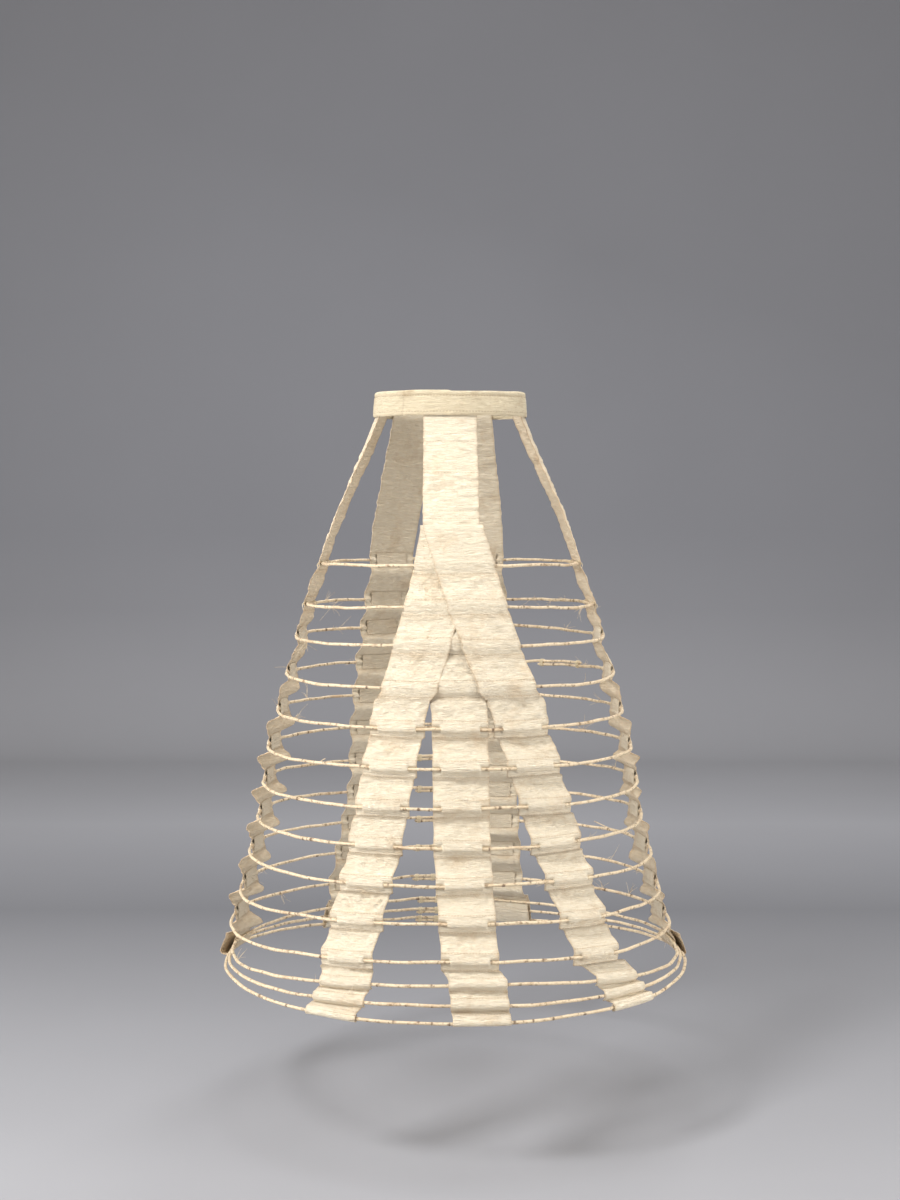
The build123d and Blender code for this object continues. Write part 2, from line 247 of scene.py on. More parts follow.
def woven_cloth(name, light, deep, stain_and_shade, rib=rib_spacing, bump=0.0015):
    """Matte cloth with ribs across it, slubs, blotches, stitch rows and painted shade in its folds."""
    material, tree, shader = new_material(name)
    place = add_node(tree, "UVMap", uv_map="cloth").outputs["UV"]
    solid = add_node(tree, "TexCoord").outputs["Object"]
    relief = []
    for length, height, slant, detail, distortion, share in cloth_fields.values():
        turned, scale = (0, 0, math.radians(slant)), (1 / length, 1 / height, 1)
        stretched = add_node(tree, "Mapping", {"Vector": place, "Rotation": turned, "Scale": scale})
        field = add_node(
            tree, "TexNoise",
            {"Vector": stretched.outputs[0], "Scale": 1, "Detail": detail, "Distortion": distortion},
        )
        relief.append((field.outputs["Fac"], share))
    slubs = relief[0][0]
    wave_scale = 2 * math.pi / rib / wave_rate
    ribs = add_node(
        tree, "TexWave",
        {"Vector": place, "Scale": wave_scale, "Distortion": 1.2, "Detail": 2, "Detail Scale": 2},
        bands_direction="Y", wave_profile="SIN",
    )
    warp = add_node(
        tree, "TexWave",
        {"Vector": place, "Scale": wave_scale, "Distortion": 0.8, "Detail": 1},
        bands_direction="X", wave_profile="SIN",
    )
    tone = add_node(tree, "MapRange", {"Value": slubs, "From Min": 0.3, "From Max": 0.7})
    blotch = patches(tree, solid, blotch_size, 5, 0.54, 0.78, 0.45, roughness=0.65)
    speck = patches(tree, solid, speck_size, 2, 0.7, 0.8, 0.35)
    # This mark is partly painted shade: below each cane, along the tape edges and in the hem crease.
    shade_and_soil = add_node(tree, "Attribute", attribute_name="shade_and_soil")
    # The stitch rows: dashes across the cloth, at one distance from each cane.
    from_cane = add_node(tree, "Attribute", attribute_name="from_cane").outputs["Fac"]
    beside = add_node(tree, "Math", {0: from_cane}, operation="ABSOLUTE")
    row = add_node(
        tree, "Math", {0: beside.outputs[0], 1: stitch_from_cane, 2: stitch_width}, operation="COMPARE"
    )
    across = add_node(tree, "SeparateXYZ", {0: place}).outputs["X"]
    step = add_node(tree, "Math", {0: across, 1: stitch_gap / 2}, operation="PINGPONG")
    dash = add_node(tree, "Math", {0: step.outputs[0], 1: stitch_length / 2}, operation="LESS_THAN")
    stitch = add_node(tree, "Math", {0: row.outputs[0], 1: dash.outputs[0]}, operation="MULTIPLY")
    thread = add_node(tree, "Math", {0: stitch.outputs[0], 1: 0.55}, operation="MULTIPLY")
    tint = add_node(
        tree, "Mix", {"Factor": tone.outputs["Result"], 6: colour(deep), 7: colour(light)}, data_type="RGBA"
    )
    for share in (blotch, speck, shade_and_soil.outputs["Fac"], thread.outputs[0]):
        tint = add_node(
            tree, "Mix", {"Factor": share, 6: tint.outputs[2], 7: colour(stain_and_shade)}, data_type="RGBA"
        )
    relief += [
        (ribs.outputs["Fac"], rib_relief), (warp.outputs["Fac"], warp_relief),
        (stitch.outputs[0], stitch_relief),
    ]
    height = slubs
    for field, share in relief[1:]:
        height = add_node(
            tree, "Math", {0: field, 1: share, 2: height}, operation="MULTIPLY_ADD"
        ).outputs[0]
    surface(tree, shader, tint.outputs[2], height, 0.9, bump, 0.92)
    shader.inputs["Specular IOR Level"].default_value = 0.25
    shader.inputs["Sheen Weight"].default_value = 0.12
    return material


cotton_tape = woven_cloth("unbleached_cotton_tape", "#FDF1DA", "#F5E4C6", "#C89C62")
linen_band = woven_cloth("unbleached_linen_band", "#FAEBCC", "#EEDCB8", "#AC8350", rib=0.0012)
print("cloths:", cotton_tape.name, linen_band.name)

# %% [markdown]
# The hoops are split cane with its bark stripped: pale tan, with a faint grain along it, and brown
# flecks and rings left at the nodes. The bending leaves a soft shine. The nodes come from a mark
# that is set when the canes are made.

# %% Stripped cane
grain_size, bark_patch_size, spot_size = 0.004, 0.035, 0.0055


def stripped_cane():
    """Tan cane with a fine grain, dark nodes and scraps of brown bark."""
    material, tree, shader = new_material("stripped_cane")
    solid = add_node(tree, "TexCoord").outputs["Object"]
    node_mark = add_node(tree, "Attribute", attribute_name="node_mark").outputs["Fac"]
    grain = add_node(tree, "TexNoise", {"Vector": solid, "Scale": 1 / grain_size, "Detail": 4})
    dark = add_node(tree, "Math", {0: node_mark, 1: 1.5, 2: grain.outputs["Fac"]}, operation="MULTIPLY_ADD")
    tint = add_node(
        tree, "Mix",
        {"Factor": grain.outputs["Fac"], 6: colour("#B59B76"), 7: colour("#EFE0C4")}, data_type="RGBA",
    )
    bark = patches(tree, solid, bark_patch_size, 4, 0.52, 0.7, 0.5, roughness=0.7)
    spots = patches(tree, solid, spot_size, 2, 0.56, 0.68, 0.65)
    fleck = add_node(
        tree, "MapRange", {"Value": dark.outputs[0], "From Min": 0.95, "From Max": 1.5, "To Max": 0.85}
    )
    layers = ((bark, "#9C7449"), (spots, "#6E4C2E"), (fleck.outputs["Result"], "#54361F"))
    for share, code in layers:
        tint = add_node(
            tree, "Mix", {"Factor": share, 6: tint.outputs[2], 7: colour(code)}, data_type="RGBA"
        )
    surface(tree, shader, tint.outputs[2], grain.outputs["Fac"], 0.7, 0.0005, 0.55)
    return material


cane_finish = stripped_cane()
print("finish:", cane_finish.name)

# %% [markdown]
# The canes are lapped at their ends and bound with waxed linen thread, and a bone button closes the
# band. Thread is pale and twisted, so fine slanting lines run over it. Bone is smooth, faintly
# yellow, with short brown pores.

# %% Thread and bone
strand_size, pore_size = 0.002, 0.0012


def waxed_thread():
    """Pale linen thread with a faint sheen of wax."""
    material, tree, shader = new_material("waxed_linen_thread")
    solid = add_node(tree, "TexCoord").outputs["Object"]
    strands = add_node(tree, "TexNoise", {"Vector": solid, "Scale": 1 / strand_size, "Detail": 3})
    tint = add_node(
        tree, "Mix",
        {"Factor": strands.outputs["Fac"], 6: colour("#B9A37C"), 7: colour("#F0E4C8")}, data_type="RGBA",
    )
    surface(tree, shader, tint.outputs[2], strands.outputs["Fac"], 0.6, 0.0003, 0.7)
    return material


def turned_bone():
    """Bone with brown pores, polished by wear."""
    material, tree, shader = new_material("turned_bone")
    solid = add_node(tree, "TexCoord").outputs["Object"]
    pores = patches(tree, solid, pore_size, 2, 0.6, 0.75)
    tint = add_node(
        tree, "Mix",
        {"Factor": pores, 6: colour("#EEE3CB"), 7: colour("#B79A6E")}, data_type="RGBA",
    )
    surface(tree, shader, tint.outputs[2], pores, 0.4, 0.0002, 0.35, pitted=True)
    return material


thread_finish = waxed_thread()
bone_finish = turned_bone()
print("finishes:", thread_finish.name, bone_finish.name)

# %% [markdown]
# Each hoop is one cane whose two ends run side by side for a lap. A tube follows the cane's line.
# Its radius swells at each node, and one side of a node carries the scar of a leaf. Between nodes
# it is a little uneven. Modelling these swellings, and not only painting them, keeps the outline
# knobbly from any side.

# %% The hoops
lap_length, lap_azimuth = 46, -172.5
mended_hoop, mended_lap_length, mended_lap_azimuth = 4, 96, 134
lap_rise = 2.65
lap_easing = 38
ring_spacing, cane_sides = 3, 10
stripped = 0.93  # the share of the cane's thickness that is left between its nodes
node_gap = (14, 44)


def lap_azimuths(number):
    """The azimuths of the two ends of a cane's lap."""
    length, middle = lap_length, lap_azimuth
    if number == mended_hoop:
        length, middle = mended_lap_length, mended_lap_azimuth
    half = math.degrees(math.asin(length / 2 / hoop_half_widths[number - 1]))
    return middle - half, middle + half


def make_hoop(number):
    """A knobbly cane bent round, its first end above its last one in the lap."""
    rng = np.random.default_rng(200 + number)
    lap_start, lap_end = lap_azimuths(number)
    reach = math.radians(1) * hoop_half_widths[number - 1]
    azimuth = np.arange(lap_start, lap_end + 360, ring_spacing / reach)
    along = (azimuth - azimuth[0]) * reach
    points, outward = cane_line(number, azimuth)
    lap = (lap_end - lap_start) * reach
    first = np.clip((lap + lap_easing - along) / lap_easing, 0, 1)
    last = np.clip((along - (along[-1] - lap - lap_easing)) / lap_easing, 0, 1)
    ease = first * first * (3 - 2 * first) - last * last * (3 - 2 * last)
    points[:, 2] += ease * lap_rise
    thickness = 1 + 0.05 * np.sin(along / 37 + number) + 0.04 * lumps(along, 0, 9, 1, number)
    sides = np.linspace(0, 2 * math.pi, cane_sides, endpoint=False)
    radii = np.repeat(thickness[None], cane_sides, axis=0) * cane_radius * stripped
    node_mark = np.zeros_like(radii)
    place = rng.uniform(5, 40)
    while place < along[-1]:
        near = np.exp(-(((along - place) / rng.uniform(1.6, 2.8)) ** 2))
        scar = rng.uniform(0, 2 * math.pi)
        facing = 0.5 + 0.5 * np.cos(sides - scar)
        radii += near[None] * (0.14 + rng.uniform(0.05, 0.4) * facing[:, None] ** 2)
        node_mark += near[None] * (0.25 + rng.uniform(0.3, 0.9) * facing[:, None])
        place += rng.uniform(*node_gap)
    tips = np.clip(np.minimum(along, along[-1] - along) / 2 + 0.6, 0, 1)
    radii *= tips[None]
    grid = tube_grid(points, radii, cane_sides)
    hoop = grid_piece(
        f"cane_{number:02d}", [grid], cane_finish, wrapped=True, capped=True,
        marks=[("node_mark", [node_mark.T])],
    )
    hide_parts(f"hoop_{number:02d}")
    return along[-1]


cane_lengths = [make_hoop(number) for number in range(1, hoop_count + 1)]
print("cane used, in metres:", round(sum(cane_lengths) / 1000, 1))

# %% [markdown]
# Near each end of a lap, thread is wound round both canes in six touching turns. A coil is
# a path round a long oval, so the same tube helper makes it.

# %% The lashings
lashing_inset = 9
lashing_turns, lashing_length = 6, 6.2
thread_radius = 0.55
oval_steps = 20


def lashing(number, azimuth):
    """Thread wound round the two canes of a lap, as a grid."""
    rng = np.random.default_rng(int(300 + number + abs(azimuth)))
    (middle,), (outward,) = cane_line(number, [azimuth])
    along = np.array([-outward[1], outward[0], 0])
    turn = np.linspace(0, 2 * math.pi * lashing_turns, oval_steps * lashing_turns)
    side = (cane_radius + thread_radius) * np.cos(turn)
    beyond = np.sign(np.sin(turn)) * lap_rise * np.minimum(1, 3 * np.abs(np.sin(turn)))
    rise = np.sin(turn) * (cane_radius + thread_radius) + beyond
    travel = (turn / turn[-1] - 0.5) * lashing_length + 0.35 * np.sin(turn * 0.37 + rng.uniform(0, 6))
    path = middle + side[:, None] * outward + travel[:, None] * along
    path[:, 2] += rise
    return tube_grid(path, thread_radius, 6, toward=along)


coils = []
for number in range(1, hoop_count + 1):
    inset = math.degrees(lashing_inset / hoop_half_widths[number - 1])
    lap_start, lap_end = lap_azimuths(number)
    coils += [lashing(number, lap_start + inset), lashing(number, lap_end - inset)]
lashings = grid_piece("lap_lashings", coils, thread_finish, wrapped=True, capped=True)
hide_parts("hoop_lashings")
print("lashings:", len(coils))

# %% [markdown]
# Old cane sheds fibres. Here and there a scrap of bark or a torn strand stands off a hoop, mostly
# towards the front, and a few canes are split. Each shred is a small bunch of thin curved tubes
# that start inside the cane, so none of them floats.

# %% Bark shreds and split strands
shred_places = 54
fibre_radius, fibre_steps = 0.22, 9
strand_steps = 30


def shred(number, azimuth, rng):
    """A bunch of torn fibres on one cane, as grids."""
    (middle,), (outward,) = cane_line(number, [azimuth])
    along = np.array([-outward[1], outward[0], 0])
    lean = rng.uniform(0, 2 * math.pi)
    off = outward * math.cos(lean) * 0.7 + np.array([0, 0, 1]) * math.sin(lean)
    grids = []
    for _ in range(rng.integers(3, 7)):
        length = rng.uniform(5, 17)
        reach = np.linspace(0, 1, fibre_steps)[:, None]
        way = off + along * rng.uniform(-1.3, 1.3) + rng.normal(0, 0.35, 3)
        curl = rng.normal(0, 0.5, 3)
        path = middle + off * 1.2 + way * reach * length + curl * (reach**2) * length
        path = path + 0.5 * np.sin(reach * rng.uniform(4, 9)) * rng.normal(0, 1, 3)
        radii = np.linspace(fibre_radius * 1.6, fibre_radius * 0.6, fibre_steps)
        grids.append(tube_grid(path, radii, 5))
    return grids


def split_strand(number, azimuth, degrees_long, lift, rng):
    """A strand that has split from a cane, and springs off it at one end."""
    azimuths = np.linspace(azimuth, azimuth + degrees_long, strand_steps)
    points, outward = cane_line(number, azimuths)
    rise = np.linspace(0, 1, strand_steps) ** 1.8
    points = points + outward * (1.6 + 2 * rise)[:, None]
    points[:, 2] += lift * rise + 0.4 * np.sin(np.linspace(0, 9, strand_steps))
    return tube_grid(points, np.linspace(1.1, 0.7, strand_steps), 6)


rng = np.random.default_rng(17)
shreds = []
for _ in range(shred_places):
    side = rng.choice((-1, 1))
    azimuth = side * rng.choice((rng.uniform(20, 85), rng.uniform(95, 165), rng.uniform(100, 160)))
    shreds += shred(int(rng.integers(2, 13)), azimuth, rng)
strands = [
    split_strand(9, 118, 12, 9, rng), split_strand(10, 152, -9, 7, rng),
    split_strand(4, 56, 8, 4, rng), split_strand(7, -128, -7, 6, rng),
]
for name, grids in (("bark_shreds", shreds), ("split_strands", strands)):
    marks = [("node_mark", [np.full(grid.shape[:2], 0.12) for grid in grids])]
    piece = grid_piece(name, grids, cane_finish, wrapped=True, capped=True, marks=marks)
print("shreds:", len(shreds), "strands:", len(strands))

# %% [markdown]
# The waistband is linen folded double, creased by wear, with its folded edge at the top. It is made
# as a closed section, a tall narrow loop, that travels round the waist and laps over itself at the
# front. At the centre back it is pieced: one length of cloth lies over the other.

# %% The waistband
band_half_width, band_half_depth = 118, 93
band_height, band_thickness, band_flare = 38, 3.2, 4
band_lap_length, band_lap_gap = 34, 1
hem_fold = 6.5
outer_rows, inner_rows, band_steps = 18, 12, 300
crease_room = 0.35
travel_radius = 105  # between the half width and the half depth
lap_end_azimuth, piece_edge, seam_azimuth = 540, 359.6, 323


def band_point(azimuth, rise, out):
    """Points on the waistband, at azimuths, rises above its lower edge and ways out."""
    turn = np.radians(azimuth)
    spread = -band_flare * rise / band_height
    width, depth = band_half_width + spread, band_half_depth + spread
    tangent = np.stack([width * np.cos(turn), depth * np.sin(turn), 0 * turn], axis=-1)
    tangent /= np.linalg.norm(tangent, axis=-1, keepdims=True)
    outward = np.cross(tangent, (0, 0, 1))
    middle = np.stack([width * np.sin(turn), -depth * np.cos(turn), rise + 0 * turn], axis=-1)
    return middle + outward * np.asarray(out)[..., None]


def make_waistband():
    """The folded band, with its creases, hem line and pieced back."""
    half_lap = math.degrees(band_lap_length / 2 / band_half_width)
    azimuth = np.linspace(lap_end_azimuth - 360 - half_lap, lap_end_azimuth + half_lap, band_steps)
    rises = [np.linspace(0, band_height, outer_rows), np.linspace(band_height, 0, inner_rows)]
    rises = np.concatenate(rises)
    outs = np.concatenate([np.full(outer_rows, 1.0), np.full(inner_rows, -1.0)])
    outs *= band_thickness / 2 - crease_room
    rounding = np.clip(np.minimum(rises, band_height - rises) / 1.6, 0, 1) ** 0.5
    rows, columns = np.meshgrid(azimuth, rises, indexing="ij")
    out = np.broadcast_to(outs * rounding, rows.shape).copy()
    lapped = np.clip((rows - lap_end_azimuth + 1.6 * half_lap) / (0.7 * half_lap), 0, 1)
    out += (band_thickness + band_lap_gap) * lapped * lapped * (3 - 2 * lapped)
    # The hem line and the turning above it, then the creases, all on the outside only.
    travel = np.radians(rows) * travel_radius
    outer = (np.broadcast_to(outs, rows.shape) > 0).astype(float)
    under_hem = np.exp(-(((columns - band_height + hem_fold) / 1.1) ** 2))
    out -= outer * 0.55 * under_hem
    out += 0.35 * outer * (columns > band_height - hem_fold)
    out += 0.75 * lumps(travel, columns, 26, 15, 31) + 0.35 * lumps(travel, columns, 8, 6, 32)
    out += 0.35 * outer * lumps(travel + columns * 0.8, columns, 5, 17, 33)
    # The pieced back: one length of cloth over the other, and a seam beside them.
    over = 1 / (1 + np.exp(-(rows - piece_edge) * 4))
    faded = np.clip((rows - 350) / 9, 0, 1) * (rows < 380) * np.clip((380 - rows) / 8, 0, 1)
    out += outer * 0.8 * over * faded
    seam = np.exp(-(((travel - np.radians(seam_azimuth) * travel_radius) / 0.9) ** 2))
    out -= 0.5 * outer * seam
    height = columns / band_height
    rise = columns + 0.5 * lumps(travel, 0 * columns, 34, 1, 34) * height
    rise -= 1.3 * over * (rows < 420) * height**3 * np.clip((420 - rows) / 40, 0, 1)
    grid = band_point(rows, rise, out)
    # Painted shade in the hem's crease; the cloth is also darker along the seam and the lower edge.
    shade_and_soil = 0.22 * under_hem * outer + 0.25 * seam * outer + 0.12 * (columns < 2.5)
    stitched = columns - band_height + hem_fold + stitch_from_cane + 1.4
    band = grid_piece(
        "folded_waistband", [grid], linen_band, wrapped=True, capped=True,
        marks=[("shade_and_soil", [shade_and_soil]), ("from_cane", [np.where(outer > 0, stitched, 50)])],
        maps=[np.stack([travel, columns], axis=-1)],
    )
    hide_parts("waistband")
    return travel[-1, 0] - travel[0, 0]


band_length = make_waistband()
print("waistband length in mm:", round(band_length))

# %% [markdown]
# The button keeps its turned shape from the frame, with its edges rounded by a bevel. Two strands
# of thread hold it.

# %% The button
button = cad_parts["waist_button"]
rounded = button.modifiers.new("worn_edges", "BEVEL")
rounded.width = 0.0006
rounded.segments = 2
rounded.limit_method = "ANGLE"
for slot in range(max(1, len(button.material_slots))):
    if not button.material_slots:
        button.data.materials.append(bone_finish)
    button.material_slots[slot].material = bone_finish
low, high = (np.array(corner) * 1000 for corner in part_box("waist_button"))
face = (low + high) / 2
hole_aside, hole_reach, strand_points = 2.3, 2.6, 9
strands = []
for aside in (-hole_aside, hole_aside):
    span = np.linspace(-hole_reach, hole_reach, strand_points)
    hump = high[1] + 0.35 - 1.2 * (np.abs(span) / hole_reach) ** 4
    strand = np.stack([face[0] + np.full(strand_points, aside), hump, face[2] + span], axis=-1)
    strands.append(tube_grid(strand, 0.5, 6, toward=(1, 0, 0)))
button_thread = grid_piece("button_thread", strands, thread_finish, wrapped=True, capped=True)
print("button middle in mm:", [round(float(x), 1) for x in face])

# %% [markdown]
# Each tape is one long strip that hangs from the band. Where it meets a cane it swells over it,
# and a second layer behind the cane closes the pocket. Between two canes the cloth is longer than
# the gap: it drops straight from the upper cane, then slopes out to the next one. A tape is
# described row by row, and then placed by the same cane line as the hoops, so the two always
# agree.

# %% Rows of a tape
tape_width, pocket_width, cloth_thickness = 83, 57, 0.9
inside = -(cane_radius + 0.75)
outside = -inside
pocket_half_height, hem_pocket_half_height, covered_half_height = 12, 7, 4
rows_apart = 2.5
full_bay = 50  # bays with less fall than this hang with less slack
bay_droop, hem_slack = 9, 2.5


def read(table, number):
    """A value between the two listed hoops on either side of a hoop number."""
    return np.interp(number, list(table), list(table.values()))


def dipping(share):
    """How cloth hangs below a cane: quickly inward, then slowly out to the next one."""
    return -share * (1 - share) ** 1.7 / (0.37 * 0.63**1.7)


def curling(share):
    """How the slacker side tapes hang: a curl outward below a cane, then pinched in."""
    curl = 0.9 * math.exp(-(((share - 0.22) / 0.15) ** 2))
    return curl - 0.8 * math.exp(-(((share - 0.66) / 0.17) ** 2))


def swell(from_cane):
    """How far the cloth is lifted over a cane: a long slope above it, and a quick drop below."""
    above = 1 / (1 + np.abs(from_cane / 8.5) ** 2.2)
    below = 1 / (1 + np.abs(from_cane / 5.0) ** 3.2)
    return np.where(from_cane > 0, above, below)


def half_height(number):
    """Half the height of the pocket round a hoop."""
    return hem_pocket_half_height if number > hoop_count - hem_hoops else pocket_half_height


def tape_row(plan, number, out, rise, **changes):
    """One row of a tape, at this way out and rise from a cane, with its own changes."""
    row = {
        "hoop": number, "share": 0, "sideways": 0, "out": out, "rise": rise, "from_cane": rise,
        "loose": 0, "edges": (0, 0), "narrow": plan["narrow"], "lifted": False, "flare": 0,
    }
    row.update(changes)
    return row


def bay_rows(plan, number, rng):
    """The rows between one hoop's pocket and the next one's."""
    drops = side_drops if plan["rolled"] else back_drops
    fall = drops[number] - drops[number - 1]
    above, below = half_height(number), half_height(number + 1)
    if number < plan["over"]:
        above = below = covered_half_height
    count = max(2, round((fall - above - below + bay_droop) / rows_apart))
    start, end = (plan["outs"](n) for n in (number, number + 1))
    taut = read(plan["taut"], number)
    slack = plan["slack"] * min(1, fall / full_bay) * rng.uniform(0.8, 1.15) * taut
    if number > hoop_count - hem_hoops:
        slack = hem_slack
    edges = rng.uniform(-1, 1, 2) * plan["ruffle"] + np.array([-plan["twist"], plan["twist"]])
    edges = edges * min(1, fall / full_bay) * taut
    step = plan["step"] if number >= plan["over"] else 0.12
    return [
        tape_row(
            plan, number, start + (end - start) * share + slack * plan["hang"](share),
            -above * (1 - share) + below * share, share=share,
            sideways=step * (1 - math.exp(-share / 0.06)) + (1 - step) * share,
            from_cane=-above - share * fall if share < 0.5 else below + (1 - share) * fall,
            loose=math.sin(math.pi * share), edges=edges,
            narrow=plan["narrow"] * (1 - math.sin(math.pi * min(1, share * 1.3 + 0.12))),
            lifted=number + (share > 0.5) > plan["over"],
        )
        for share in np.linspace(0, 1, count + 2)[1:-1]
    ]


def pocket_rows(plan, number, top=None, bottom=None):
    """The rows that cross one cane, as high as its pocket."""
    half = covered_half_height if number <= plan["over"] else half_height(number)
    top, bottom = half if top is None else top, -half if bottom is None else bottom
    count = max(2, round((top - bottom) / rows_apart)) + 1
    return [
        tape_row(plan, number, plan["outs"](number), rise, lifted=number > plan["over"])
        for rise in np.linspace(top, bottom, count)
    ]


print("rows are", rows_apart, "mm apart")

# %% [markdown]
# The placing turns rows into points. Across a tape it follows the hoop's curve, so the cloth bends
# round the body of the cage. The wrinkles are a random field that depends on the place and not on
# the tape, so where the back tapes lie on each other they crease together and never cut through.

# %% Placing a tape
slit_wall = 0.7
slit_half_height = 5
margin_columns, pocket_columns = 6, 23
half_pocket = pocket_width / 2
tape_columns = np.concatenate([
    np.linspace(-tape_width / 2, -half_pocket - slit_wall, margin_columns),
    np.linspace(-half_pocket + slit_wall, half_pocket - slit_wall, pocket_columns),
    np.linspace(half_pocket + slit_wall, tape_width / 2, margin_columns),
])
# Creases: height, lean of the two directions, and size across and along.
tape_folds = ((1.6, 0, 0, 30, 15), (1.2, 0.7, -0.5, 8, 24), (0.9, -0.8, 0, 6, 13), (1.2, 0, 0, 17, 6))
head_folds = ((1.2, 0, 0, 24, 19), (1.5, 0.3, 0, 14, 6.5), (1.0, -0.5, 0, 9, 5.5))
head_seed_shift = 5
narrow_scale, mean_radius = 45, 300
tuck_rises, band_inset, tuck_gap = (16, 12, 8, 4, 0), 3.8, 0.6
ridge_width, ridge_height = 4, 0.7
# The course of a hem round the last cane: ways out and rises. The slanting tapes roll theirs.
plain_wrap = (
    (inside, 2), (inside * 0.8, -1.8), (inside * 0.35, -3.1), (0.6, -3.3), (2.2, -2.6), (3.2, -0.8),
    (3.3, 1.5), (2.9, 3.5), (1.6, 5.5), (0.3, 7.5), (-0.9, 9.5), (-1.9, 12),
)
rolled_wrap = (
    (inside, 1.5), (-3.1, -1.2), (-1.9, -3.4), (0.2, -4.4), (2.4, -3.9), (4.0, -2.2),
    (4.5, 0.2), (3.9, 2.5), (2.4, 4.1), (0.4, 4.8), (-1.4, 4.6), (-2.3, 3.6),
)


def creases(across, down, folds, seed):
    """The height of the cloth's creases at these places, in mm."""
    height = 0
    for place, (size, skew, lean, across_size, along_size) in enumerate(folds):
        field = lumps(across + skew * down, down + lean * across, across_size, along_size, seed + place)
        height = height + size * field
    return height


def place_row(plan, row, u):
    """The points of one row, and their wrinkled way out, at places u across the tape."""
    number, share = row["hoop"], row["share"]
    after = min(number + 1, hoop_count)
    spread = (1 - row["narrow"] / narrow_scale) * plan["level_width"] / tape_width
    azimuths = [
        read(plan["azimuths"], hoop) + np.degrees(u * spread / hoop_half_widths[hoop - 1])
        for hoop in (number, after)
    ]
    azimuth = azimuths[0] + (azimuths[1] - azimuths[0]) * row["sideways"]
    upper, outward = cane_line(number, azimuth)
    lower, outward = cane_line(after, azimuth)
    points = upper * (1 - share) + lower * share
    points[:, 2] += row["rise"]
    has_slit = plan["first_slit"] <= number <= hoop_count - hem_hoops
    slit = has_slit * (np.abs(u) > half_pocket) * math.exp(-((row["from_cane"] / slit_half_height) ** 2))
    covered = number + (share > 0.5) < plan["first_slit"]
    eased = row["from_cane"] * (0.5 if covered else 1)
    over_cane = (outside - inside) * row["lifted"] * swell(eased) * (1 - slit)
    near_edge = np.abs(u / tape_width * 2) ** (1.4 if plan["twist"] else 2.5)
    edge = np.where(u < 0, row["edges"][0], row["edges"][1])
    ruffle = edge * near_edge * row["loose"] + row["flare"] * near_edge
    crease = creases(np.radians(azimuth) * mean_radius, points[:, 2], tape_folds, plan["seed"])
    out = row["out"] + over_cane + ruffle + crease * min(1, 0.1 + row["loose"])
    return points + outward * out[:, None]


def head_rows(plan, first, u):
    """Points from inside the waistband down to a hung tape's first row."""
    start = read(plan["azimuths"], 0)
    turn = math.radians(start)
    rate = math.hypot(band_half_width * math.cos(turn), band_half_depth * math.sin(turn))
    azimuth = start + np.degrees(u / rate)
    tucked = np.full(u.shape, tuck_gap - band_inset)
    rows = [band_point(azimuth, rise + 0 * u, tucked) for rise in tuck_rises]
    edge = rows[-1]
    fall = np.linalg.norm(first[len(u) // 2] - edge[len(u) // 2])
    shares = np.linspace(0, 1, round(fall / rows_apart) + 1)[1:-1]
    for share in shares:
        points = edge * (1 - share) + first * share
        outward = np.stack([points[:, 0], points[:, 1], 0 * u], axis=-1)
        outward /= np.linalg.norm(outward, axis=1, keepdims=True)
        crease = creases(u, points[:, 2], head_folds, plan["seed"] + head_seed_shift)
        crease = crease * math.sin(math.pi * share) ** 0.5
        drops = -points[0, 2] - np.array(plan["spare_pockets"])
        ridges = ridge_height * np.exp(-((drops / ridge_width) ** 2)).sum()
        bow = 3.0 * math.sin(math.pi * share) - 1.5 * math.sin(2 * math.pi * share)
        rows.append(points + outward * (crease + bow + ridges)[:, None])
    return rows


def hem_fold_rows(plan, inside_top):
    """The rows that take a tape under its last cane and back up outside it."""
    wrap = rolled_wrap if plan["slant"] else plain_wrap
    rows = pocket_rows(plan, hoop_count, top=inside_top, bottom=4)
    return rows + [tape_row(plan, hoop_count, out, rise, loose=0.1) for out, rise in wrap]


print("points across a tape:", len(tape_columns))

# %% [markdown]
# Now the seven tapes. Five hang from the band. The other two start on the centre back tape, one on
# the other, and slant out to the hem. Each tape is a sheet of cloth, and its pockets are strips woven
# or sewn behind it. A tape's plan says how many canes it lies over before its pockets begin, where
# its slits begin, how slack it hangs and how much of that slack is left at each hoop, and how its
# edges ruffle, twist and narrow.

# %% The tapes
left_back_azimuths = {0: 0, 1: -3, 5: -16.4, 9: -22.4, 11: -25.4, 14: -29.2}
right_back_azimuths = {0: 0, 1: 6, 5: 22.6, 9: 33.3, 11: 38, 12: 42, 14: 45}
centre_back_azimuths = {0: 0, 5: 3.1, 8: 3.3, 11: 4.7, 14: 5.8}
side_reach = {0: 95, 14: 100.5}
slant_drop = 165
back_seed, side_seed, front_seed = 40, 60, 80
slant_folds = ((1.3, 0, 0, 24, 15), (1.0, 0.6, 0, 9, 10), (0.6, -0.4, 0, 14, 5))
# A slanting tape's folded top edge: ways out and down, first tucked under, then turned over.
tucked_under = ((-0.5, 9), (-0.7, 5), (-0.6, 1.2), (0, 0))
folded_over = ((0.75, 0.8), (0.95, 3), (1.0, 6), (0.95, 8.6), (0.3, 9.6))
roll_flare, full_twist, flare_steps = 10, 16, 5


def tape_plan(azimuths, **changes):
    """What a tape does, from the defaults of a hung tape and its own changes."""
    plan = {
        "azimuths": azimuths, "over": 0, "over_out": outside, "rolled": False,
        "level_width": tape_width, "slack": 8, "ruffle": 3.5, "narrow": 1.2, "seed": back_seed,
        "spare_pockets": (), "slant": False, "step": 0.4, "head_shift": 0,
        "hang": dipping, "taut": {1: 1}, "first_slit": 1, "yellowed": 0, "twist": 0,
    }
    plan.update(changes)
    plan["outs"] = lambda number: plan["over_out"] if number <= plan["over"] else inside
    return plan


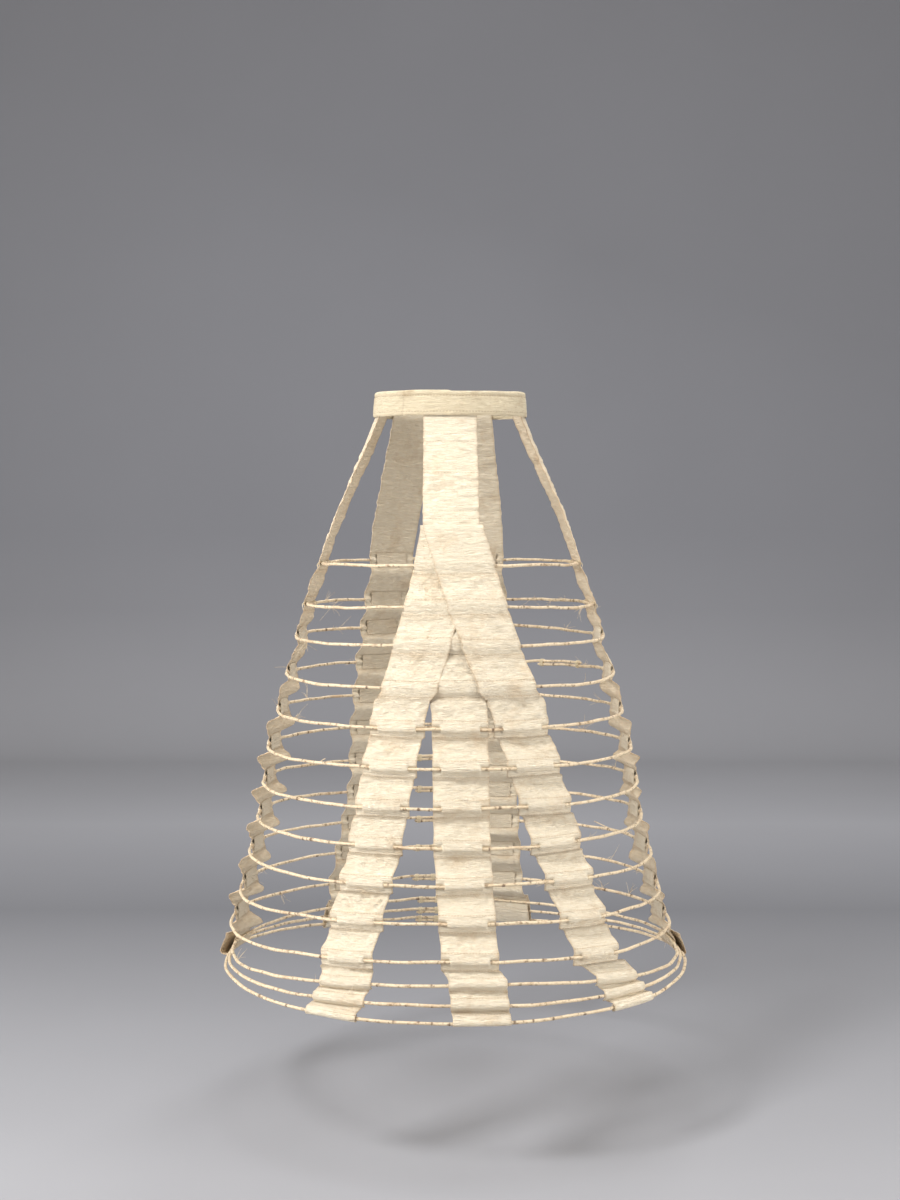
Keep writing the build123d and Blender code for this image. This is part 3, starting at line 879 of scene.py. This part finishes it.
def slanted(azimuths):
    """The width of a slanting tape along a level line."""
    high = cane_line(5, [read(azimuths, 5)])[0][0]
    low = cane_line(hoop_count, [read(azimuths, hoop_count)])[0][0]
    straight = cane_line(hoop_count, [read(azimuths, 5)])[0][0]
    lean = math.atan2(np.linalg.norm(low - straight), np.linalg.norm(straight - high))
    return tape_width / math.cos(lean)


# The side tapes take an even share of the stain colour: partly yellowing, partly painted warm shade.
side_changes = {
    "over": 2, "over_out": 5, "rolled": True, "slack": 6, "ruffle": 4, "hang": curling,
    "taut": {3: 0.15, 5: 1}, "narrow": 2, "yellowed": 0.2,
}
slant_changes = {"over": 4, "slant": True, "slack": 6, "step": 0.7, "taut": {3: 0.65, 4: 0.3, 5: 1}}
plans = {
    "centre_back_tape": tape_plan(
        centre_back_azimuths, spare_pockets=(34, 92, 148), slack=6, ruffle=2, first_slit=5,
        taut={3: -0.45, 4: -0.3, 5: 1},
    ),
    "left_side_tape": tape_plan(
        {n: -a for n, a in side_reach.items()}, seed=side_seed, twist=full_twist, **side_changes
    ),
    "right_side_tape": tape_plan(side_reach, seed=side_seed + 7, twist=-10, **side_changes),
    "left_front_tape": tape_plan({0: -150, 8: -152, 14: -146}, rolled=True, seed=front_seed),
    "right_front_tape": tape_plan({0: 165, 14: 165}, rolled=True, seed=front_seed + 7),
    "left_back_tape": tape_plan(
        left_back_azimuths, over_out=outside + 1.4, head_shift=-1,
        level_width=slanted(left_back_azimuths), **slant_changes,
    ),
    "right_back_tape": tape_plan(
        right_back_azimuths, over_out=outside + 2.9, head_shift=5,
        level_width=slanted(right_back_azimuths), **slant_changes,
    ),
}


def hanging_rows(plan):
    """All the rows of a tape below its head, from its first hoop to its hem."""
    rng = np.random.default_rng(plan["seed"] + round(plan["over_out"] * 10))
    last = hoop_count - hem_hoops if plan["rolled"] else hoop_count - 1
    rows = []
    for number in range(1, last + 1):
        rows += pocket_rows(plan, number)
        rows += bay_rows(plan, number, rng)
    if not plan["rolled"]:
        return rows + hem_fold_rows(plan, half_height(hoop_count))
    return rows + roll_rows(plan)


def roll_rows(plan):
    """A side or front tape goes down inside its last three canes and back up outside them."""
    first = hoop_count - hem_hoops + 1
    rows = pocket_rows(plan, first, top=pocket_half_height, bottom=0)
    middle = read(plan["azimuths"], hoop_count)
    top, bottom = (cane_line(n, [middle])[0][0] for n in (first, hoop_count))
    fall = bottom[2] - top[2]
    shift = cane_line(first, [middle])[1][0][:2] @ (bottom - top)[:2]
    down_inside = [
        (inside + shift * 0.1, fall * 0.25), (inside + shift * 0.45, fall * 0.6),
        (inside + shift * 0.8, fall * 0.9),
    ]
    round_and_up = [
        (shift - 3.2, fall - 1.5), (shift - 1.6, fall - 3.6), (shift + 1.4, fall - 3.8),
        (shift + 3.6, fall - 1.6), (shift + 3.9, fall + 1.5), (shift * 0.6 + 4.4, fall * 0.5 + 2),
        (shift * 0.2 + 3.9, 3), (2.4, 7), (0.4, 10.5), (-1.6, 14),
    ]
    # The outer part of the roll opens at its edges, the more so the higher it is.
    flare = roll_flare * abs(plan["twist"]) / full_twist
    flares = [0] * len(down_inside) + [flare * step / flare_steps for step in range(len(round_and_up))]
    return rows + [
        tape_row(plan, first, out, rise, loose=0.2, narrow=0, flare=opened)
        for (out, rise), opened in zip(down_inside + round_and_up, flares)
    ]


def shade_and_soil_marks(rows, u, yellowed):
    """How much stain colour the cloth takes: painted shade in the fold below each cane and along its
    edges, some at the stitch row above each cane, and an even share: yellowing and painted warm shade.
    """
    from_cane = np.array([row["from_cane"] for row in rows])
    folds = np.exp(-(((from_cane + 15) / 5) ** 2)) + 0.5 * np.exp(-(((from_cane - 12) / 3) ** 2))
    return yellowed + 0.16 * folds[:, None] + 0.34 * np.abs(u / tape_width * 2) ** 24


def make_tape(name, plan, centre_head=None):
    """One tape, as a strip of cloth, and its top rows for the slanting tapes to start on."""
    u = tape_columns
    rows = hanging_rows(plan)
    points = [place_row(plan, row, u) for row in rows]
    if plan["slant"]:
        head = slant_head(plan, points[0], u, centre_head)
    else:
        head = head_rows(plan, points[0], u)
    grid = np.array(head + points)
    top = [{"from_cane": 60}] * len(head)
    shade_and_soil = shade_and_soil_marks(top + rows, u, plan["yellowed"])
    steps = np.linalg.norm(np.diff(grid[:, len(u) // 2], axis=0), axis=1)
    along = np.concatenate([[0], np.cumsum(steps)])
    cloth_map = np.stack(np.meshgrid(along, u, indexing="ij")[::-1], axis=-1)
    from_cane = np.array([[row["from_cane"]] * len(u) for row in top + rows])
    for drop in plan["spare_pockets"]:
        beside = -grid[: len(head), :, 2] - drop
        near = np.abs(beside) < 30
        from_cane[: len(head)][near] = (beside * stitch_from_cane / 5.5)[near]
    tape = grid_piece(
        name.replace("_tape", "_cotton"), [grid], cotton_tape,
        marks=[("shade_and_soil", [shade_and_soil]), ("from_cane", [from_cane])], maps=[cloth_map],
    )
    thicken(tape)
    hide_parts(name)
    return tape, along[-1], np.array(head)


def thicken(cloth):
    """Gives a sheet the thickness of the woven cloth, evenly on both sides."""
    solid = cloth.modifiers.new("cloth_thickness", "SOLIDIFY")
    solid.thickness = cloth_thickness / 1000
    solid.offset = 0


def slant_head(plan, first, u, centre_head):
    """A slanting tape's top: a folded edge on the centre tape, then down to its first hoop."""
    middle = centre_head.shape[1] // 2
    row = int(np.argmin(np.abs(centre_head[:, middle, 2] + slant_drop)))
    line = centre_head[row]
    along = centre_head[row + 1, middle] - centre_head[row - 1, middle]
    along /= np.linalg.norm(along)
    width = u * plan["level_width"] / tape_width + plan["head_shift"]
    depth = np.interp(width, line[:, 0], line[:, 1])
    start = np.stack([width, depth, np.full(u.shape, line[middle, 2])], axis=-1)
    outward = np.cross(along, (-1, 0, 0))
    outward *= -1 if outward[1] > 0 else 1
    lift = plan["over_out"] - outside
    rows = [start + outward * (lift + out) + along * down for out, down in tucked_under + folded_over]
    base = start + outward * (lift + 0.2) + along * 9.8
    fall = np.linalg.norm(first[middle] - base[middle])
    for share in np.linspace(0, 1, round(fall / rows_apart) + 1)[1:-1]:
        points = base * (1 - share) + first * share
        crease = creases(points[:, 0], points[:, 2], slant_folds, back_seed + head_seed_shift)
        rows.append(points + outward * (crease * math.sin(math.pi * share))[:, None])
    return rows


tapes, flat_lengths = {}, {}
for name, plan in plans.items():
    centre_head = tapes["centre_back_tape"][1] if plan["slant"] else None
    tape, flat_length, head = make_tape(name, plan, centre_head)
    tapes[name] = (tape, head)
    flat_lengths[name] = flat_length
print("tape lengths in mm:", {name: round(float(length)) for name, length in flat_lengths.items()})

# %% [markdown]
# The pockets are narrower than the tapes, so at each side a cane shows for about 13 mm before it
# slips through a slit. The tape's own cloth swells over the cane, and a second layer, woven in
# behind it, closes the pocket on the inside of the cage.

# %% The pockets
layer_rows = 13


def behind_cane(rise, half):
    """How far out the pocket's back layer lies at a rise above the cane."""
    ends = np.clip((np.abs(rise) / half - 0.6) / 0.4, 0, 1)
    front = inside + (outside - inside) * swell(rise) - cloth_thickness - 0.1
    return inside + (front - inside) * ends * ends * (3 - 2 * ends)


def make_pockets(name, plan):
    """The inner layers of one tape's pockets, as one piece."""
    u = np.linspace(-0.5, 0.5, pocket_columns) * pocket_width
    last = hoop_count - hem_hoops if plan["rolled"] else hoop_count - 1
    grids, shades_and_soils, canes, maps = [], [], [], []
    for number in range(plan["over"] + 1, last + 1):
        half = half_height(number)
        rises = np.linspace(half, -half, layer_rows)
        rows = [tape_row(plan, number, behind_cane(rise, half), rise) for rise in rises]
        grids.append(np.array([place_row(plan, row, u) for row in rows]))
        across, along = np.meshgrid(u, rises, indexing="xy")
        maps.append(np.stack([across, along * 1.3 + number * 50], axis=-1))
        # Darker towards the slits at the pocket's sides, and a little all over.
        shades_and_soils.append(0.10 * (np.abs(across / pocket_width * 2) ** 6) + 0.05)
        canes.append(along * stitch_from_cane / half)
    pockets = grid_piece(
        name.replace("_tape", "_pockets"), grids, cotton_tape,
        marks=[("shade_and_soil", shades_and_soils), ("from_cane", canes)], maps=maps,
    )
    thicken(pockets)
    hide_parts(name)
    return pockets


for name, plan in plans.items():
    pockets = make_pockets(name, plan)
    tape = tapes[name][0]
print("pocket strips:", len(plans))

# %% [markdown]
# The side tapes have no pockets for the first two hoops. Each is tied there instead: white thread
# is passed through the tape and round the cane a few times, knotted, and its ends are left loose.

# %% The thread ties
tie_turns, tie_thread_radius, tie_from_middle = 4, 0.5, 30


def thread_tie(number, azimuth, rng):
    """A few turns of thread round a cane and the tape outside it, with two loose ends."""
    (middle,), (outward,) = cane_line(number, [azimuth])
    along = np.array([-outward[1], outward[0], 0])
    turn = np.linspace(0, 2 * math.pi * tie_turns, 18 * tie_turns)
    ring = outward * (1.9 + 4.6 * np.cos(turn))[:, None]
    ring = ring + np.array([0, 0, 1]) * (3.4 * np.sin(turn))[:, None]
    path = middle + ring + along * ((turn / turn[-1] - 0.5) * 3.4)[:, None]
    grids = [tube_grid(path, tie_thread_radius, 6, toward=along)]
    knot = middle + outward * 6.6
    for way in (-1, 1):
        reach = np.linspace(0, 1, 10)[:, None]
        tail = knot + outward * (1.5 * np.sin(3 * reach)) + along * way * 9 * reach
        tail = tail + rng.normal(0, 0.3, 3) * reach
        tail[:, 2] -= (rng.uniform(5, 12) * reach**2)[:, 0]
        grids.append(tube_grid(tail, np.linspace(tie_thread_radius, 0.35, 10), 6))
    return grids


rng = np.random.default_rng(23)
ties = []
for name in ("left_side_tape", "right_side_tape"):
    for number in (1, 2):
        azimuth = read(plans[name]["azimuths"], number)
        near = math.degrees(tie_from_middle / hoop_half_widths[number - 1])
        for shift in (-near, near):
            ties += thread_tie(number, azimuth + shift, rng)
thread_ties = grid_piece("thread_ties", ties, thread_finish, wrapped=True, capped=True)
print("ties:", len(ties) // 3)

# %% [markdown]
# The cage hangs alone over a grey floor, at the level where it would stand in wear; the floor is
# painted darker away from the camera, as shade. A grey wall behind it and broad soft lamps show its
# cream cloth and dark nodes without hard shadows.

# %% Floor, wall and light
floor_level = -1.064
floor_size, wall_top = 30, 8
sweep_start, sweep_radius = 3.6, 0.8


def paper_with_painted_shade():
    """Matte grey paper with a faint mottle: a floor painted darker with distance as shade, then a wall."""
    material, tree, shader = new_material("grey_paper_with_painted_shade")
    solid = add_node(tree, "TexCoord").outputs["Object"]
    place = add_node(tree, "SeparateXYZ", {0: solid})
    mottle = add_node(tree, "TexNoise", {"Vector": solid, "Scale": 1.5, "Detail": 3})
    # Painted shade: the floor darkens away from the camera, then lightens again before the bend.
    layers = (
        ("Y", -0.35, 1.3, "#6C6D72"), ("Y", 1.3, 2.4, "#94959B"),
        ("Z", floor_level, floor_level + 0.5, "#85868C"),
    )
    tint = colour("#949498")
    for axis, low, high, code in layers:
        share = add_node(
            tree, "MapRange", {"Value": place.outputs[axis], "From Min": low, "From Max": high}
        )
        tint = add_node(
            tree, "Mix", {"Factor": share.outputs["Result"], 6: tint, 7: colour(code)}, data_type="RGBA"
        ).outputs[2]
    shade = add_node(tree, "MapRange", {"Value": mottle.outputs["Fac"], "To Min": 0.96, "To Max": 1.04})
    toned = add_node(tree, "HueSaturation", {"Color": tint, "Value": shade.outputs["Result"]})
    tree.links.new(toned.outputs[0], shader.inputs["Base Color"])
    shader.inputs["Roughness"].default_value = 0.95
    return material


def studio_sweep():
    """One sheet of paper: the floor, a round bend and the wall, kept out of the object."""
    turns = np.linspace(0, math.pi / 2, 24)
    bend = [
        (sweep_start + sweep_radius * math.sin(turn), floor_level + sweep_radius * (1 - math.cos(turn)))
        for turn in turns
    ]
    line = [(-floor_size, floor_level), *bend, (sweep_start + sweep_radius, wall_top)]
    corners = [(side * floor_size, y, z) for y, z in line for side in (-1, 1)]
    faces = [(2 * i, 2 * i + 1, 2 * i + 3, 2 * i + 2) for i in range(len(line) - 1)]
    mesh = bpy.data.meshes.new("studio_sweep")
    mesh.from_pydata(corners, [], faces)
    mesh.shade_smooth()
    mesh.materials.append(paper_with_painted_shade())
    sweep = bpy.data.objects.new("studio_sweep", mesh)
    bpy.context.collection.objects.link(sweep)


studio_sweep()


def soft_lamp(name, place, size, power, target=(0, 0, -0.45)):
    """A square lamp that faces the cage."""
    lamp = bpy.data.lights.new(name, "AREA")
    lamp.size, lamp.energy = size, power
    holder = bpy.data.objects.new(name, lamp)
    holder.location = place
    aim = np.array(place) - np.array(target)
    flat = math.hypot(aim[0], aim[1])
    holder.rotation_euler = (math.atan2(flat, aim[2]), 0, math.atan2(aim[0], -aim[1]))
    bpy.context.collection.objects.link(holder)


soft_lamp("key_lamp", (-1.7, -1.9, 2.4), 0.8, 104)
soft_lamp("fill_lamp", (3.2, -1.3, 0.1), 2.0, 96)
soft_lamp("low_lamp", (-1.2, -3.2, -0.6), 1.8, 26)
soft_lamp("top_lamp", (0.3, 0.1, 2.8), 1.6, 40)
soft_lamp("left_lamp", (-3.0, -0.8, 0.2), 1.8, 84)
soft_lamp("front_lamp", (0.9, 2.4, 2.4), 1.6, 50)
world = bpy.data.worlds.new("studio_air")
world.use_nodes = True
world.node_tree.nodes["Background"].inputs["Color"].default_value = colour("#FFF6E8")
world.node_tree.nodes["Background"].inputs["Strength"].default_value = 0.4
bpy.context.scene.world = world
bpy.context.scene.view_settings.view_transform = "Standard"

# %% [markdown]
# The camera stands behind the cage, a little below the waist, and looks slightly down.

# %% The camera
focal_length = 1839 / 1200  # in heights of the image
downward_tilt = 3.27
camera_data = bpy.data.cameras.new("camera")
camera_data.sensor_fit = "VERTICAL"
camera_data.sensor_height = 36
camera_data.lens = camera_data.sensor_height * focal_length
camera = bpy.data.objects.new("camera", camera_data)
camera.location = (0, -2.85, -0.119)
camera.rotation_euler = (math.radians(90 - downward_tilt), 0, 0)
bpy.context.collection.objects.link(camera)
bpy.context.scene.camera = camera
